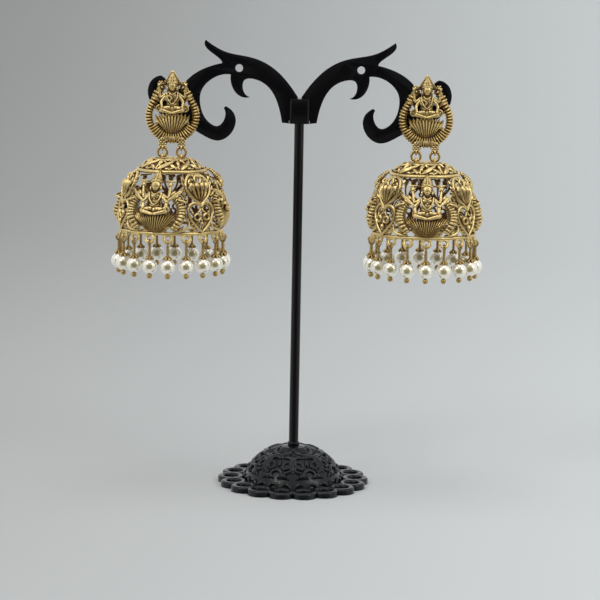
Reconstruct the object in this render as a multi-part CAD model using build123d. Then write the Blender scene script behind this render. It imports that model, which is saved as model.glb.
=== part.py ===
"""A pair of jhumka earrings hanging on a small earring stand.  Millimetres, +Z up.

Origin: centre of the stand's foot on the surface it stands on.  The stand's two scroll arms lie in the
XZ plane; the front of the earrings faces -Y.  Each earring is a cast stud with two soldered hangers, two
jump rings, and a pierced bell whose rim carries drop rings, head pins and drilled pearls.
"""

from build123d import *
from math import acos, atan2, cos, hypot, radians, sin, sqrt
import os

# ---------------------------------------------------------------- driving dimensions
# Stand
FOOT_DOME_RADIUS = 14.4  # cast dome on the foot, measured where it meets the surface
FOOT_DOME_HEIGHT = 10.9
FOOT_LOOPS = 18  # openwork loops round the dome
FOOT_LOOP_RING = 17.55  # radius of the circle that the loops' centres lie on
FOOT_LOOP_RADIUS = 2.9  # centre line of one loop
FOOT_LOOP_BAND = 1.75  # width of a loop's band
FOOT_LOOP_HEIGHT = 2.0
STEM_RADIUS = 1.35
STEM_FOOT = 5.0  # the stem stands on the bottom of its socket in the dome
STEM_TOP = 108.4
COLLAR_RADIUS = 1.65
COLLAR_HEIGHT = 0.8
HUB_BOTTOM = 101.7
HUB_TOP = 108.5
HUB_WIDTH = 5.5
HUB_DEPTH = 4.4
HUB_FLOOR = 0.7  # the plate that joins the hub's two cheeks under the arms
ARM_THICKNESS = 2.0
FIT = 0.1  # clearance between pieces that are pushed together
HOLE_RADIUS = 1.06  # the eye hole and the ear-post hole of an arm

# Earring
EARRING_X = 35.0  # the two earrings hang this far left and right of the stem
STUD_Z = 105.9  # middle of the stud, at the ear post
STUD_BACK_Y = -1.3
HINGE_Y = -2.2  # the hangers, the rings and the bell hang in this plane
HANGER_X = 2.6  # the two hangers are this far either side of the stud's middle
HINGE_Z = 94.6  # top wire of the jump rings, which the bell swings about
RING_RADIUS = 1.25
RING_WIRE = 0.35
EYE_RADIUS = 0.75  # the closed eyes on the stud and on the bell that hold the jump rings
EYE_WIRE = 0.28

# Bell, in its own frame: Z from the middle of the rim wire, axis at the origin
RIM_Z = 72.2
RIM_RADIUS = 13.75
RIM_WIRE = 0.5
WALL = 0.9
BAND_RADIUS = 9.1  # wire between the wall and the cap; the wall is a quarter ellipse below it
BAND_Z = 16.0
BAND_WIRE = 0.45
CAP_EDGE = 5.0  # the cap curves in to here, and is flat inside it
CAP_TOP = 19.2
FIGURE_SPAN = 68.0  # degrees of the wall that a figure panel takes
HEART_SPAN = 39.0
PANELS = [  # once round, from the front; two heart panels meet at the back
    {"kind": "figure", "turn": 0.0},
    {"kind": "heart", "turn": 53.5},
    {"kind": "figure", "turn": 107.0},
    {"kind": "heart", "turn": 160.5},
    {"kind": "heart", "turn": 199.5},
    {"kind": "figure", "turn": 253.0},
    {"kind": "heart", "turn": 306.5},
]
LEFT_BELL_TURN = -15.0  # the left bell's ornament is turned this far from straight ahead

# Drops
DROPS = 18
DROP_RING_RADIUS = 1.0
DROP_RING_WIRE = 0.35
DROP_RING_LEAN = 20.0  # the rings lean outward, on from the flare of the rim
PEARL_RADIUS = 2.1
PEARL_Z = -8.9
PEARL_BORE = 0.35
PIN_WIRE = 0.22
PIN_LOOP_RADIUS = 0.75
PIN_BALL = 0.6
UPWARD = (Align.CENTER, Align.CENTER, Align.MIN)


# ---------------------------------------------------------------- small helpers
def placed(shape, x=0.0, y=0.0, z=0.0):
    return Pos(x, y, z) * shape


def rod(start, end, radius):
    """A round rod between two points, with round ends, turned as one solid."""
    along = Vector(*end) - Vector(*start)
    reach = along.length
    half = radius * sqrt(0.5)
    low = ThreePointArc((0, -radius), (half, -half), (radius, 0))
    high = ThreePointArc((radius, reach), (half, reach + half), (0, reach + radius))
    side = Line((radius, 0), (radius, reach))
    axis = Line((0, reach + radius), (0, -radius))
    section = make_face(Curve() + [low, side, high, axis])
    return Plane(origin=Vector(*start), z_dir=along) * revolve(Plane.XZ * section, Axis.Z)


def spike(start, end, foot_radius, tip_radius):
    """A tapering round rod between two points."""
    along = Vector(*end) - Vector(*start)
    return Plane(origin=Vector(*start), z_dir=along) * Cone(foot_radius, tip_radius, along.length, align=UPWARD)


def eye(x, y, z):
    """A closed wire eye in the YZ plane."""
    return Pos(x, y, z) * Rot(0, 90, 0) * Torus(EYE_RADIUS, EYE_WIRE)


# ---------------------------------------------------------------- stand
def foot():
    """Cast foot: a solid dome on a ring of openwork loops, with a socket for the stem."""
    r, h = FOOT_DOME_RADIUS, FOOT_DOME_HEIGHT
    ball = (r * r + h * h) / (2 * h)
    dome = placed(Sphere(ball), z=h - ball) & Cylinder(r + 1, h + 1, align=UPWARD)
    outer = Cylinder(FOOT_LOOP_RADIUS + FOOT_LOOP_BAND / 2, FOOT_LOOP_HEIGHT, align=UPWARD)
    inner = Cylinder(FOOT_LOOP_RADIUS - FOOT_LOOP_BAND / 2, FOOT_LOOP_HEIGHT, align=UPWARD)
    loop = outer - inner
    loops = [Rot(0, 0, 360 / FOOT_LOOPS * i) * Pos(FOOT_LOOP_RING, 0, 0) * loop for i in range(FOOT_LOOPS)]
    socket = placed(Cylinder(STEM_RADIUS + FIT / 2, h, align=UPWARD), z=STEM_FOOT)
    return dome + loops + foot_relief(ball, h - ball) - socket


def foot_relief(ball, centre_z):
    """Raised scrolls round the dome: rings laid on its surface in two rows."""
    scrolls = []
    for count, tilt, radius, wire, start in ((8, 52, 2.4, 0.5, 0.0), (6, 24, 1.9, 0.45, 30.0)):
        for i in range(count):
            on_dome = Pos(0, 0, centre_z) * Rot(0, 0, start + 360 / count * i) * Rot(0, tilt, 0)
            scrolls.append(on_dome * Pos(0, 0, ball - radius * radius / (2 * ball)) * Torus(radius, wire))
    return scrolls


def stem():
    """Round rod from the foot's socket up between the hub's cheeks, with a collar on the dome."""
    bar = placed(Cylinder(STEM_RADIUS, STEM_TOP - STEM_FOOT, align=UPWARD), z=STEM_FOOT)
    collar = Cylinder(COLLAR_RADIUS, COLLAR_HEIGHT, align=UPWARD)
    collar = fillet(collar.edges().filter_by(GeomType.CIRCLE).sort_by(Axis.Z)[-1], COLLAR_HEIGHT / 3)
    return bar + placed(collar, z=FOOT_DOME_HEIGHT + FIT / 2)


def hub():
    """Two cheeks that clamp the stem and the roots of both arms, joined by a floor plate."""
    height = HUB_TOP - HUB_BOTTOM
    block = placed(Box(HUB_WIDTH, HUB_DEPTH, height, align=UPWARD), z=HUB_BOTTOM)
    block = fillet(block.edges().filter_by(Axis.Z), 0.7)
    slot = Box(HUB_WIDTH + 1, ARM_THICKNESS + 2 * FIT, height, align=UPWARD)
    bore = Cylinder(STEM_RADIUS + FIT, height + 1, align=UPWARD)
    return block - [placed(slot, z=HUB_BOTTOM + HUB_FLOOR), placed(bore, z=HUB_BOTTOM - 0.5)]


# An arm's outline, once round from its root at the hub: distance out from the stem, and height.
ARM_EDGES = {
    "back": [(0.5, 109.0), (3.4, 113.0), (7.6, 117.0), (13.2, 119.6), (20.8, 121.2), (24.1, 122.9), (26.1, 124.3)],
    "plume": [(26.1, 124.3), (26.4, 123.4), (24.7, 121.0), (21.5, 118.0)],
    "limb": [(21.5, 118.0), (25.3, 116.9), (29.7, 114.5), (32.8, 111.3), (35.2, 108.6)],
    "curl_inside": [(35.2, 108.6), (37.8, 107.7), (39.4, 109.4), (37.4, 111.6)],
    "curl_tip": [(37.4, 111.6), (36.9, 112.9), (38.4, 114.3)],
    "outside": [
        (38.4, 114.3), (41.2, 112.5), (41.9, 109.4), (40.4, 105.8), (35.6, 102.0), (28.8, 99.3),
        (21.9, 96.7), (18.4, 99.3), (17.6, 102.9), (19.7, 105.8),
    ],
    "hook_tip": [(19.7, 105.8), (20.4, 106.1), (20.9, 105.6)],
    "hook_inside": [
        (20.9, 105.6), (20.6, 103.0), (22.5, 100.7), (25.5, 102.2), (27.3, 106.0), (27.3, 109.8),
        (24.4, 113.5), (19.1, 114.9),
    ],
    "beak_outside": [(19.1, 114.9), (18.6, 111.4), (17.1, 109.4), (13.6, 108.8)],
    "beak_inside": [(13.6, 108.8), (15.7, 111.0), (15.3, 113.4), (12.1, 113.6), (7.9, 110.7), (5.7, 106.0), (4.8, 101.9)],
}
ARM_EYE = (16.8, 116.7)
ARM_LIMB_HOLE = (31.0, 106.6)
ARM_LIMB_HOLE_RADIUS = 0.85


def arm(side):
    """Scroll arm cut from plate: plume, beak, inner hook and outer curl, with its three holes."""
    edges = [Spline(*points) for points in ARM_EDGES.values()]
    side_x = HUB_WIDTH / 2 + FIT
    stem_x = STEM_RADIUS + FIT
    tab_z = HUB_BOTTOM + HUB_FLOOR + FIT
    root = Polyline(
        ARM_EDGES["beak_inside"][-1],
        (side_x, HUB_BOTTOM),
        (side_x, tab_z),
        (stem_x, tab_z),
        (stem_x, STEM_TOP + FIT),
        (ARM_EDGES["back"][0][0], STEM_TOP + FIT),
        ARM_EDGES["back"][0],
    )
    holes = [
        Pos(*ARM_EYE) * Circle(HOLE_RADIUS),
        Pos(EARRING_X, STUD_Z) * Circle(HOLE_RADIUS),
        Pos(*ARM_LIMB_HOLE) * Circle(ARM_LIMB_HOLE_RADIUS),
    ]
    outline = make_face(Curve() + [*edges, root]) - holes
    plate = extrude(Plane.XZ * outline, ARM_THICKNESS / 2, both=True)
    return plate if side > 0 else mirror(plate, about=Plane.YZ)


# ---------------------------------------------------------------- stud
STUD_RADIUS = 7.75
STUD_ROUND_Y = -2.4  # centre of the round lower part, below the ear post
STUD_SHOULDER = (3.4, 6.2)
STUD_PLATE = 1.0
STUD_RIBS = 40
STUD_RIB_SWEEP = 250.0
STUD_RIB_RADIUS = 0.45
POST_RADIUS = 0.42
POST_LENGTH = 11.0
STUD_WINDOWS = [  # pierced gaps, each with its mirror image: across, up, size and lean
    {"x": 2.9, "y": 3.7, "width": 1.6, "height": 2.4, "lean": 35.0},
    {"x": 4.4, "y": 0.0, "width": 2.0, "height": 3.6, "lean": 8.0},
]


def stud_plate():
    """Pear-shaped plate: a round lower part that runs up in straight shoulders, with its windows."""
    sx, sy = STUD_SHOULDER
    rise = sy - STUD_ROUND_Y
    touch = atan2(rise, sx) - acos(STUD_RADIUS / hypot(sx, rise))
    tx, ty = STUD_RADIUS * cos(touch), STUD_ROUND_Y + STUD_RADIUS * sin(touch)
    lower = ThreePointArc((tx, ty), (0, STUD_ROUND_Y - STUD_RADIUS), (-tx, ty))
    upper = Polyline((-tx, ty), (-sx, sy), (sx, sy), (tx, ty))
    windows = []
    for w in STUD_WINDOWS:
        for side in (-1, 1):
            window = Rot(0, 0, side * w["lean"]) * Ellipse(w["width"] / 2, w["height"] / 2)
            windows.append(Pos(side * w["x"], w["y"]) * window)
    return extrude(make_face(Curve() + [lower, upper]) - windows, STUD_PLATE)


def stud_ribs():
    """Ribs laid like rays over the edge of the round part."""
    ribs = []
    for i in range(STUD_RIBS):
        turn = radians(-90 + STUD_RIB_SWEEP * (i / (STUD_RIBS - 1) - 0.5))
        ends = [
            (r * cos(turn), STUD_ROUND_Y + r * sin(turn), STUD_PLATE + 0.1)
            for r in (STUD_RADIUS - 2.1, STUD_RADIUS - 0.5)
        ]
        ribs.append(rod(*ends, STUD_RIB_RADIUS))
    return ribs


def stud_figure():
    """Crowned figure seated on a lotus, as rounded forms on the plate: x across, y up, z out."""
    face = STUD_PLATE
    forms = [
        spike((0, 5.9, face + 0.7), (0, 9.9, face + 0.2), 2.0, 0.25),
        Pos(0, 5.5, face + 1.0) * Sphere(1.5),
        Pos(0, 2.4, face + 0.6) * Sphere(1.9),
        rod((-3.0, -0.9, face + 0.7), (3.0, -0.9, face + 0.7), 1.0),
    ]
    for side in (-1, 1):
        shoulder = (side * 1.3, 3.2, face + 0.8)
        forms.append(rod(shoulder, (side * 5.2, 3.6, face + 0.4), 0.5))
        forms.append(rod((side * 1.5, 2.8, face + 0.9), (side * 3.2, 0.0, face + 0.9), 0.45))
        forms.append(Pos(side * STUD_SHOULDER[0], STUD_SHOULDER[1] + 0.1, face) * Sphere(1.0))
    for i in range(9):
        lean = radians(17.0 * (i - 4))
        root = (1.2 * sin(lean), -7.4 + 1.2 * cos(lean), face + 0.3)
        tip = (5.6 * sin(lean), -7.4 + 5.6 * cos(lean), face + 1.1)
        forms.append(rod(root, tip, 0.75))
    return forms


def hanger(x, z):
    """Three rows of small balls soldered to the stud's foot, over a closed eye."""
    forms = [eye(x, HINGE_Y, z)]
    for row in range(3):
        for side in (-1, 1):
            ball_z = z + EYE_RADIUS + 0.25 + 0.72 * row
            forms.append(placed(Sphere(0.56), x=x + side * 0.48, y=HINGE_Y, z=ball_z))
    return forms


def stud(side):
    """Cast stud with its ribs and figure, two hangers and the ear post, soldered into one piece."""
    flat = stud_plate() + stud_ribs() + stud_figure()
    cast = Plane(origin=(0, STUD_BACK_Y, 0), x_dir=(1, 0, 0), z_dir=(0, -1, 0)) * flat
    post = rod((0, STUD_BACK_Y - 0.4, 0), (0, STUD_BACK_Y + POST_LENGTH, 0), POST_RADIUS)
    eye_z = HINGE_Z + EYE_RADIUS - RING_WIRE - FIT - EYE_WIRE - STUD_Z
    whole = cast + [post, *hanger(-HANGER_X, eye_z), *hanger(HANGER_X, eye_z)]
    return placed(whole, x=side * EARRING_X, z=STUD_Z)


def back_nut(side):
    """Push-on nut that holds the ear post behind the arm."""
    disc = Cylinder(2.4, 0.8, align=UPWARD)
    barrel = Cylinder(1.3, 3.2, align=UPWARD)
    nut = disc + barrel - Cylinder(POST_RADIUS + FIT, 8.0)
    return placed(Rot(-90, 0, 0) * nut, x=side * EARRING_X, y=ARM_THICKNESS / 2 + 2 * FIT, z=STUD_Z)


# ---------------------------------------------------------------- bell
def wall_radius(z):
    """Outer radius of the wall at a height: a quarter ellipse from the rim up to the band."""
    return BAND_RADIUS + (RIM_RADIUS - BAND_RADIUS) * sqrt(max(0.0, 1 - (z / BAND_Z) ** 2))


def on_wall(turn, across, z, lift=0.0):
    """Plane on the wall: x across, y up the wall, z straight out.  across is measured round the wall."""
    radius = wall_radius(z)
    angle = radians(turn) + across / radius
    slope = atan2(z / BAND_Z**2, (radius - BAND_RADIUS) / (RIM_RADIUS - BAND_RADIUS) ** 2)
    out = Vector(sin(angle) * cos(slope), -cos(angle) * cos(slope), sin(slope))
    point = Vector(radius * sin(angle), -radius * cos(angle), z) + out * lift
    return Plane(origin=point, x_dir=(cos(angle), sin(angle), 0), z_dir=out)


def wall_point(turn, across, z, lift):
    return tuple(on_wall(turn, across, z, lift).origin)


def wall_rod(turn, start, end, radius):
    """A rod between two (across, height, lift) points of the wall."""
    return rod(wall_point(turn, *start), wall_point(turn, *end), radius)


def wall_wire(turn, outline, lift, radius):
    """A wire bent to the wall, as rods between (across, height) points; each second one is thinner."""
    wire = []
    for i, (start, end) in enumerate(zip(outline, outline[1:])):
        thickness = radius if i % 2 else 0.92 * radius
        wire.append(wall_rod(turn, (*start, lift), (*end, lift), thickness))
    return wire


def shell_section():
    """Half section of the bell: the wall's quarter ellipse, the cap's arc and its flat top."""
    depth = RIM_RADIUS - BAND_RADIUS
    outside = EllipticalCenterArc((BAND_RADIUS, 0), depth, BAND_Z, 0, arc_size=90)
    inside = EllipticalCenterArc((BAND_RADIUS, 0), depth - WALL, BAND_Z - WALL, 0, arc_size=90)
    middle_r, middle_z = (BAND_RADIUS + CAP_EDGE) / 2, (BAND_Z + CAP_TOP) / 2 + 0.5
    cap = ThreePointArc((BAND_RADIUS, BAND_Z), (middle_r, middle_z), (CAP_EDGE, CAP_TOP))
    under = ThreePointArc((BAND_RADIUS, BAND_Z - WALL), (middle_r, middle_z - WALL), (CAP_EDGE, CAP_TOP - WALL))
    top = Polyline((CAP_EDGE, CAP_TOP), (0, CAP_TOP), (0, CAP_TOP - WALL), (CAP_EDGE, CAP_TOP - WALL))
    foot_line = Line((RIM_RADIUS, 0), (RIM_RADIUS - WALL, 0))
    return make_face(Curve() + [outside, inside, cap, under, top, foot_line])


# Pierced gaps, each with its mirror image: across and height on the wall, size and lean.
FIGURE_WINDOWS = [
    {"across": 3.7, "z": 14.6, "width": 2.8, "height": 1.9, "lean": 0.0},
    {"across": 3.2, "z": 11.5, "width": 1.5, "height": 2.6, "lean": -25.0},
    {"across": 5.6, "z": 12.2, "width": 1.2, "height": 1.8, "lean": 0.0},
    {"across": 4.5, "z": 7.9, "width": 1.7, "height": 2.2, "lean": -10.0},
]
HEART_WINDOWS = [{"across": 1.75, "z": 7.0, "width": 2.1, "height": 1.6, "lean": 0.0}]
SEAM_WINDOWS = [  # gaps that lie half in one panel and half in the next
    {"z": 9.6, "width": 1.9, "height": 2.6},
    {"z": 3.4, "width": 1.7, "height": 1.7},
]
CAP_WINDOWS = 8


def window_plug(turn, across, z, width, height, lean=0.0):
    shape = Rot(0, 0, lean) * Ellipse(width / 2, height / 2)
    return on_wall(turn, across, z, -2.5) * extrude(shape, 5.0)


def panel_shell(span, windows):
    """One panel's part of the shell, pierced."""
    plugs = [
        window_plug(0, side * w["across"], w["z"], w["width"], w["height"], side * w["lean"])
        for w in windows
        for side in (-1, 1)
    ]
    plugs += [
        window_plug(side * span / 2, 0, w["z"], w["width"], w["height"])
        for w in SEAM_WINDOWS
        for side in (-1, 1)
    ]
    sector = revolve(Plane.XZ * shell_section(), Axis.Z, revolution_arc=span)
    return Rot(0, 0, -90 - span / 2) * sector - plugs


def figure_relief():
    """Crowned figure seated on a lotus, with raised hands, between two stacks of ribs."""
    forms = [
        spike(wall_point(0, 0, 12.9, 0.9), wall_point(0, 0, 15.9, 0.5), 1.35, 0.3),
        on_wall(0, 0, 12.3, 0.8) * Sphere(1.35),
        on_wall(0, 0, 9.9, 0.5) * Sphere(1.8),
        on_wall(0, 0, 8.0, 0.4) * Sphere(1.4),
        wall_rod(0, (-3.3, 8.2, 1.6), (3.3, 8.2, 1.6), 0.75),
    ]
    for side in (-1, 1):
        forms.append(wall_rod(0, (side * 1.3, 10.9, 0.6), (side * 4.0, 12.4, 0.6), 0.42))
        forms.append(wall_rod(0, (side * 1.9, 13.4, 0.5), (side * 5.4, 13.4, 0.4), 0.36))
        forms.append(wall_rod(0, (side * 1.5, 10.4, 0.7), (side * 3.6, 8.6, 0.9), 0.42))
        for i in range(8):
            swing = radians(-50 + 15.0 * i)
            root = (side * (4.9 * cos(swing)), 6.6 + 4.4 * sin(swing), 0.3)
            tip = (side * (7.2 * cos(swing)), 6.6 + 6.0 * sin(swing), 0.4)
            forms.append(wall_rod(0, root, tip, 0.5))
    for i in range(11):
        lean = radians(15.5 * (i - 5))
        root = (1.0 * sin(lean), 0.6 + 0.8 * cos(lean), 0.3)
        tip = (5.3 * sin(lean), 0.9 + 4.6 * cos(lean), 0.9 + 1.2 * cos(lean))
        forms.append(wall_rod(0, root, tip, 0.75))
    return forms


# The two frames of a heart panel, from the foot once round: across and height on the wall.
DROP_FRAME = [
    (0.0, 8.3), (1.9, 9.7), (3.2, 11.6), (3.5, 13.4), (2.4, 15.0),
    (-2.4, 15.0), (-3.5, 13.4), (-3.2, 11.6), (-1.9, 9.7), (0.0, 8.3),
]
HEART_FRAME = [
    (0.0, 0.8), (2.3, 3.0), (3.9, 5.4), (3.6, 7.3), (1.9, 8.2),
    (0.0, 6.7), (-1.9, 8.2), (-3.6, 7.3), (-3.9, 5.4), (-2.3, 3.0), (0.0, 0.8),
]


def heart_relief():
    """Drop-shaped frame round a tulip, over a heart-shaped frame, with three small collets."""
    forms = wall_wire(0, DROP_FRAME, 0.5, 0.45) + wall_wire(0, HEART_FRAME, 0.5, 0.45)
    for lean in (-36, 0, 36):
        tip = (1.9 * sin(radians(lean)), 10.2 + 2.6 * cos(radians(lean)), 0.8)
        forms.append(wall_rod(0, (0, 9.8, 0.3), tip, 0.85))
    for across, z in ((-1.45, 4.9), (1.45, 4.9), (0, 14.6)):
        collet = Cylinder(0.9, 1.6) - Cylinder(0.45, 2.0)
        forms.append(on_wall(0, across, z, 0.4) * collet)
    forms.append(spike(wall_point(0, 0, 3.6, 0.6), wall_point(0, 0, 1.0, 0.4), 0.7, 0.2))
    return forms


def ornament():
    """The pierced and raised part of a bell: every panel in its place, with the cap's leaves."""
    sectors = {
        "figure": panel_shell(FIGURE_SPAN, FIGURE_WINDOWS) + figure_relief(),
        "heart": panel_shell(HEART_SPAN, HEART_WINDOWS) + heart_relief(),
    }
    panels = [Rot(0, 0, panel["turn"]) * sectors[panel["kind"]] for panel in PANELS]
    gaps = [
        Rot(0, 0, 360 / CAP_WINDOWS * (i + 0.5)) * Pos(0, -7.2, CAP_TOP - 1) * Cylinder(0.75, 5.0)
        for i in range(CAP_WINDOWS)
    ]
    leaves = []
    for i in range(CAP_WINDOWS):
        for side in (-1, 1):
            leaf = rod((side * 0.4, -8.7, BAND_Z + 0.7), (side * 2.1, -5.4, CAP_TOP + 0.4), 0.6)
            leaves.append(Rot(0, 0, 360 / CAP_WINDOWS * i) * leaf)
    return panels[0] + panels[1:] - gaps + leaves


def rim_wires():
    return [Torus(RIM_RADIUS, RIM_WIRE), placed(Torus(BAND_RADIUS, BAND_WIRE), z=BAND_Z)]


DROP_TOP_R = RIM_RADIUS + 0.15  # the drop rings' top wire, sunk in the rim wire
DROP_TOP_Z = -0.45
DROP_RADIUS = DROP_TOP_R + 2 * DROP_RING_RADIUS * sin(radians(DROP_RING_LEAN))
DROP_WIRE_Z = DROP_TOP_Z - 2 * DROP_RING_RADIUS * cos(radians(DROP_RING_LEAN))


def drop_ring(i):
    """One of the cast rings under the rim, leaning outward."""
    at = Pos(0, -(DROP_TOP_R + DROP_RADIUS) / 2, (DROP_TOP_Z + DROP_WIRE_Z) / 2)
    return Rot(0, 0, 360 / DROPS * i) * at * Rot(90 - DROP_RING_LEAN, 0, 0) * Torus(DROP_RING_RADIUS, DROP_RING_WIRE)


def bell(side, turned_ornament):
    """Bell as cast and soldered: ornament, rim and band wires, two eyes on the cap and the drop rings."""
    eye_z = HINGE_Z - 2 * RING_RADIUS + RING_WIRE + FIT + EYE_WIRE - EYE_RADIUS - RIM_Z
    eyes = [eye(-HANGER_X, 0, eye_z), eye(HANGER_X, 0, eye_z)]
    drop_rings = [drop_ring(i) for i in range(DROPS)]
    whole = turned_ornament + [*rim_wires(), *eyes, *drop_rings]
    return placed(whole, x=side * EARRING_X, y=HINGE_Y, z=RIM_Z)


def jump_ring(side, hand):
    """Closed jump ring that joins one hanger's eye to one eye of the bell."""
    ring = Rot(90, 0, 0) * Torus(RING_RADIUS, RING_WIRE)
    return placed(ring, x=side * EARRING_X + hand * HANGER_X, y=HINGE_Y, z=HINGE_Z - RING_RADIUS)


# ---------------------------------------------------------------- drops
def pin():
    """Head pin: ball, shank through the pearl, seat on top of it, neck and a closed loop."""
    loop_z = DROP_WIRE_Z + DROP_RING_WIRE + FIT + PIN_WIRE - PIN_LOOP_RADIUS
    neck_top = loop_z - PIN_LOOP_RADIUS
    ball_z = PEARL_Z - PEARL_RADIUS - PIN_BALL
    seat_z = PEARL_Z + PEARL_RADIUS + FIT
    shank = placed(Cylinder(PIN_WIRE, neck_top - ball_z, align=UPWARD), z=ball_z)
    seat = placed(Cone(0.95, 0.4, 0.6, align=UPWARD), z=seat_z)
    neck = placed(Cylinder(0.36, neck_top - seat_z - 0.5, align=UPWARD), z=seat_z + 0.4)
    loop = placed(Rot(0, 90, 0) * Torus(PIN_LOOP_RADIUS, PIN_WIRE), z=loop_z)
    return shank + [seat, neck, placed(Sphere(PIN_BALL), z=ball_z), loop]


def pearl():
    """Drilled round bead."""
    return placed(Sphere(PEARL_RADIUS) - Cylinder(PEARL_BORE, 3 * PEARL_RADIUS), z=PEARL_Z)


def drop_places(side):
    """Where each drop hangs, at the rim's height, counted from the front."""
    axis = Pos(side * EARRING_X, HINGE_Y, RIM_Z)
    return [axis * Rot(0, 0, 360 / DROPS * i) * Pos(0, -DROP_RADIUS, 0) for i in range(DROPS)]


# ---------------------------------------------------------------- write the nodes
def write(name, shape):
    export_step(shape, f"parts/{name}.step")


def main():
    os.makedirs("parts", exist_ok=True)
    write("foot", foot())
    write("stem", stem())
    write("hub", hub())
    pattern = ornament()
    for name, side, turn in (("left", -1, LEFT_BELL_TURN), ("right", 1, 0.0)):
        write(f"{name}_arm", arm(side))
        write(f"{name}_stud", stud(side))
        write(f"{name}_back_nut", back_nut(side))
        write(f"{name}_ring_a", jump_ring(side, -1))
        write(f"{name}_ring_b", jump_ring(side, 1))
        write(f"{name}_bell", bell(side, Rot(0, 0, turn) * pattern))
        places = drop_places(side)
        write(f"{name}_pins", Compound([place * pin() for place in places]))
        for i, place in enumerate(places, start=1):
            write(f"{name}_pearl_{i:02d}", place * pearl())


if __name__ == "__main__":
    main()
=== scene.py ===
from math import asin, atan2, cos, pi, radians, sin, sqrt

import bmesh
import bpy
from mathutils import Matrix, Vector
from mathutils.bvhtree import BVHTree


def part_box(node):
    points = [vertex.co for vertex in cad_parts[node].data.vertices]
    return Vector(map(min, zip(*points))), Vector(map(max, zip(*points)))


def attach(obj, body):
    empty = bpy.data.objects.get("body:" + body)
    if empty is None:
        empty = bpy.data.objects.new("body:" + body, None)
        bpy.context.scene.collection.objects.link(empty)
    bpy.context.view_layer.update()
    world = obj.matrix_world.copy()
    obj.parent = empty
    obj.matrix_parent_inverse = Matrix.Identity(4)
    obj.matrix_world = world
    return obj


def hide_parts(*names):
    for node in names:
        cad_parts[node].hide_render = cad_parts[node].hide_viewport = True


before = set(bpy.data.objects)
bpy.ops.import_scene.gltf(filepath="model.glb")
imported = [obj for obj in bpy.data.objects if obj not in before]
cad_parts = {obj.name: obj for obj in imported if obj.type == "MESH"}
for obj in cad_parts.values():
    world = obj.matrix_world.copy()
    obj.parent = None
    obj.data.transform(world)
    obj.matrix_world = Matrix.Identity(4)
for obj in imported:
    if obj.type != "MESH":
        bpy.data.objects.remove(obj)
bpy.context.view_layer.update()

# ---------------------------------------------------------------- foot
# The foot is one heavy casting: a dome with scrollwork in relief on a ring of open loops.  It is
# painted matt black, darker in its recesses as painted shade, and the stem is set in its top.
MM = 0.001  # the pieces' sizes are millimetres, and the scene is in metres
FOOT_BALL = 14.96  # radius of the sphere that the dome is part of
FOOT_HEIGHT = 10.9
FOOT_SPAN = 14.4
FOOT_RELIEF = 0.7  # share of their own height by which the scrolls stand out
SOCKET_RADIUS = 1.38
LOOP_COUNT = 18
LOOP_RING = 17.55
LOOP_RADIUS = 2.9
LOOP_WIRE = 0.87


def smooth_path(points, steps, closed=False):
    """Points along a Catmull-Rom curve through the given ones; any number of values a point."""
    count = len(points)
    if count < 3 or steps < 2:
        return [list(point) for point in points]
    line = []
    for i in range(count if closed else count - 1):
        around = (i - 1, i, i + 1, i + 2)
        near = [points[k % count if closed else min(max(k, 0), count - 1)] for k in around]
        for step in range(steps):
            t = step / steps
            weights = (
                -0.5 * t + t * t - 0.5 * t**3,
                1 - 2.5 * t * t + 1.5 * t**3,
                0.5 * t + 2 * t * t - 1.5 * t**3,
                -0.5 * t * t + 0.5 * t**3,
            )
            line.append([sum(w * p[k] for w, p in zip(weights, near)) for k in range(len(points[0]))])
    if not closed:
        line.append(list(points[-1]))
    return line


ROUND = [(cos(2 * pi * i / 8), sin(2 * pi * i / 8)) for i in range(8)]
BAND = [(1, -1), (1, 0.45), (0.75, 0.85), (0.3, 1), (-0.3, 1), (-0.75, 0.85), (-1, 0.45), (-1, -1)]
BLADE = [(1.0, 0.0), (0.45, 0.62), (0.0, 1.0), (-0.45, 0.62), (-1.0, 0.0), (0.0, -0.6)]


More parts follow.
